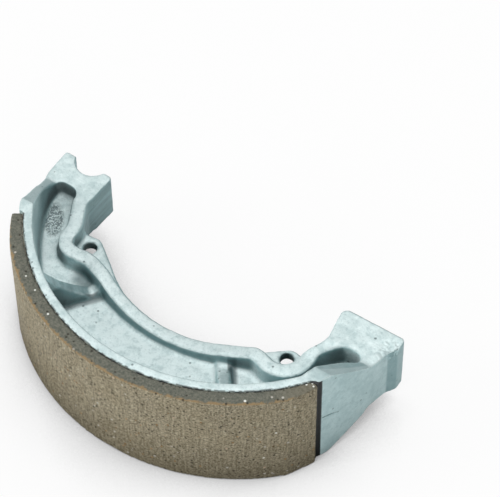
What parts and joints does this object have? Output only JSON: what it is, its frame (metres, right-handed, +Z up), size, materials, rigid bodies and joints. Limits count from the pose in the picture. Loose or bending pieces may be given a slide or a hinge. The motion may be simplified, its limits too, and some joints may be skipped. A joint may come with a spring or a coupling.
{
  "type": "brake shoe",
  "caption": "Drum brake shoe: curved cast light-alloy shoe with a bonded friction lining, a notched anchor end, a flat cam pad, a webbed inner rim and ears with spring holes.",
  "frame": {"origin": "on the drum axis, in the plane of the lower side face", "axes": "+X towards the anchor notch along the split line of the shoe pair, +Y towards the middle of the lining, +Z up along the drum axis, the part lying on its side"},
  "size_m": [0.1002, 0.054, 0.0318],
  "materials": {
    "casting": "as-cast, matte, with machined edges",
    "lining": "ground friction composite",
    "adhesive": "cured dark adhesive"
  },
  "bodies": {
    "root": {"shoe_casting": "casting", "friction_lining": "lining", "adhesive_film": "adhesive"}
  },
  "joints": []
}
